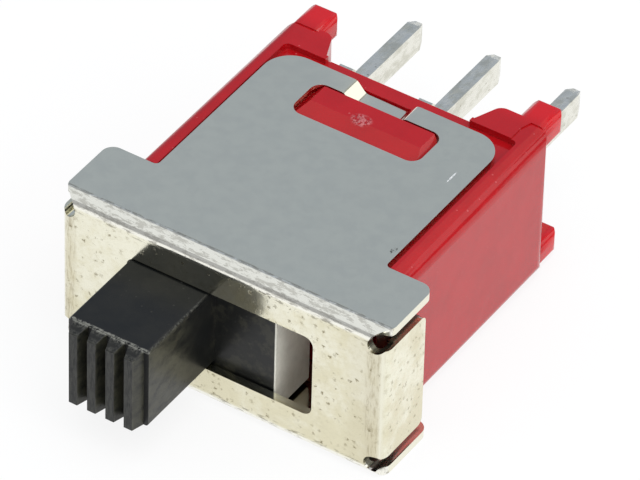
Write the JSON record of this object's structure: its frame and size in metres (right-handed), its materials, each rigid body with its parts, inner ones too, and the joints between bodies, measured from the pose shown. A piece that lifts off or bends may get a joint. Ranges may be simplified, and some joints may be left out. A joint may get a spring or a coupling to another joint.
{
  "type": "slide switch",
  "caption": "Sub-miniature changeover slide switch: folded steel frame, red moulded case, ribbed black knob and pins for a circuit board.",
  "frame": {"origin": "axis of the centre pin, in the plane of the feet that stand on the circuit board", "axes": "+Y out along the pins, +X along the row of pins and the direction of slide, +Z square to the wide face"},
  "size_m": [0.0102, 0.0167, 0.005],
  "materials": {
    "tinned_steel": "tin-plated steel sheet, lightly scuffed",
    "red_thermoset": "semi-matt red moulded thermoset",
    "black_nylon": "black moulded nylon, satin",
    "natural_nylon": "natural nylon",
    "spring_wire": "drawn stainless wire",
    "silvered_bronze": "silver-plated copper alloy",
    "tinned_brass": "tin-plated copper alloy",
    "silver": "fine silver",
    "epoxy": "cast epoxy"
  },
  "bodies": {
    "housing": {"frame": "tinned_steel", "case": "red_thermoset", "terminal_seal": "epoxy", "terminal_common": "tinned_brass", "terminal_left": "tinned_brass", "terminal_right": "tinned_brass", "contact_left": "silver", "contact_right": "silver"},
    "slide": {"slider": "black_nylon", "plunger_spring": "spring_wire"},
    "plunger": {"plunger": "natural_nylon"},
    "rocker": {"rocker": "silvered_bronze"}
  },
  "joints": [
    {"name": "slider_slide", "type": "slide", "parent": "housing", "child": "slide", "axis": [1, 0, 0], "range_m": [0, 0.00315]},
    {"name": "plunger_slide", "type": "slide", "parent": "slide", "child": "plunger", "axis": [0, -1, 0], "range_m": [0, 0.0005], "stiffness_N_per_m": 300, "springref_m": -0.0015, "deforming": ["plunger_spring"]},
    {"name": "rocker_tilt", "type": "hinge", "parent": "housing", "child": "rocker", "pos_m": [0, -0.00318, 0], "axis": [0, 0, 1], "range_deg": [0, 24]}
  ],
  "couplings": [
    {"joint": "rocker_tilt", "follows": "slider_slide", "rad_per_m": 132.98}
  ]
}
